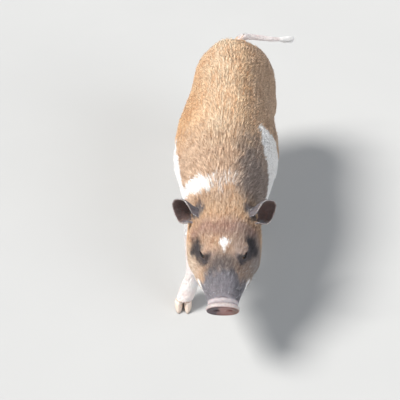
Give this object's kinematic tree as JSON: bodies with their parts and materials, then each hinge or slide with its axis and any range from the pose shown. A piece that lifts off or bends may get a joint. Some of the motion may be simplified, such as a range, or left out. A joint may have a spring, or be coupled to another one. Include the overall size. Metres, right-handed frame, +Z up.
{
  "type": "miniature pig",
  "caption": "Young miniature pig, life size, in mid-stride with its head low: bristly russet coat with white markings, cupped dark ears, flat snout and a pale tail held to its left.",
  "frame": {"origin": "on the floor, under the middle of the box round the whole pig, tail included", "axes": "+Z up; the pig faces -Y, so +Y runs towards its tail, and +X is on the pig's left"},
  "size_m": [0.2, 0.5351, 0.2534],
  "materials": {
    "coat": "matte bristly hair",
    "pale_coat": "matte short hair",
    "ear_skin": "satin skin",
    "rose_skin": "moist bare skin",
    "horn": "satin horn",
    "eye": "wet gloss"
  },
  "bodies": {
    "root": {"torso": "coat", "neck": "coat", "head": "coat", "snout_disc": "rose_skin", "ear_left": "ear_skin", "ear_right": "ear_skin", "eye_left": "eye", "eye_right": "eye", "tail": "pale_coat", "foreleg_right": "pale_coat", "foreleg_left": "pale_coat", "hindleg_right": "pale_coat", "hindleg_left": "pale_coat", "claw_fore_right_outer": "horn", "claw_fore_right_inner": "horn", "claw_fore_left_outer": "horn", "claw_fore_left_inner": "horn", "claw_hind_right_outer": "horn", "claw_hind_right_inner": "horn", "claw_hind_left_outer": "horn", "claw_hind_left_inner": "horn"}
  },
  "joints": []
}
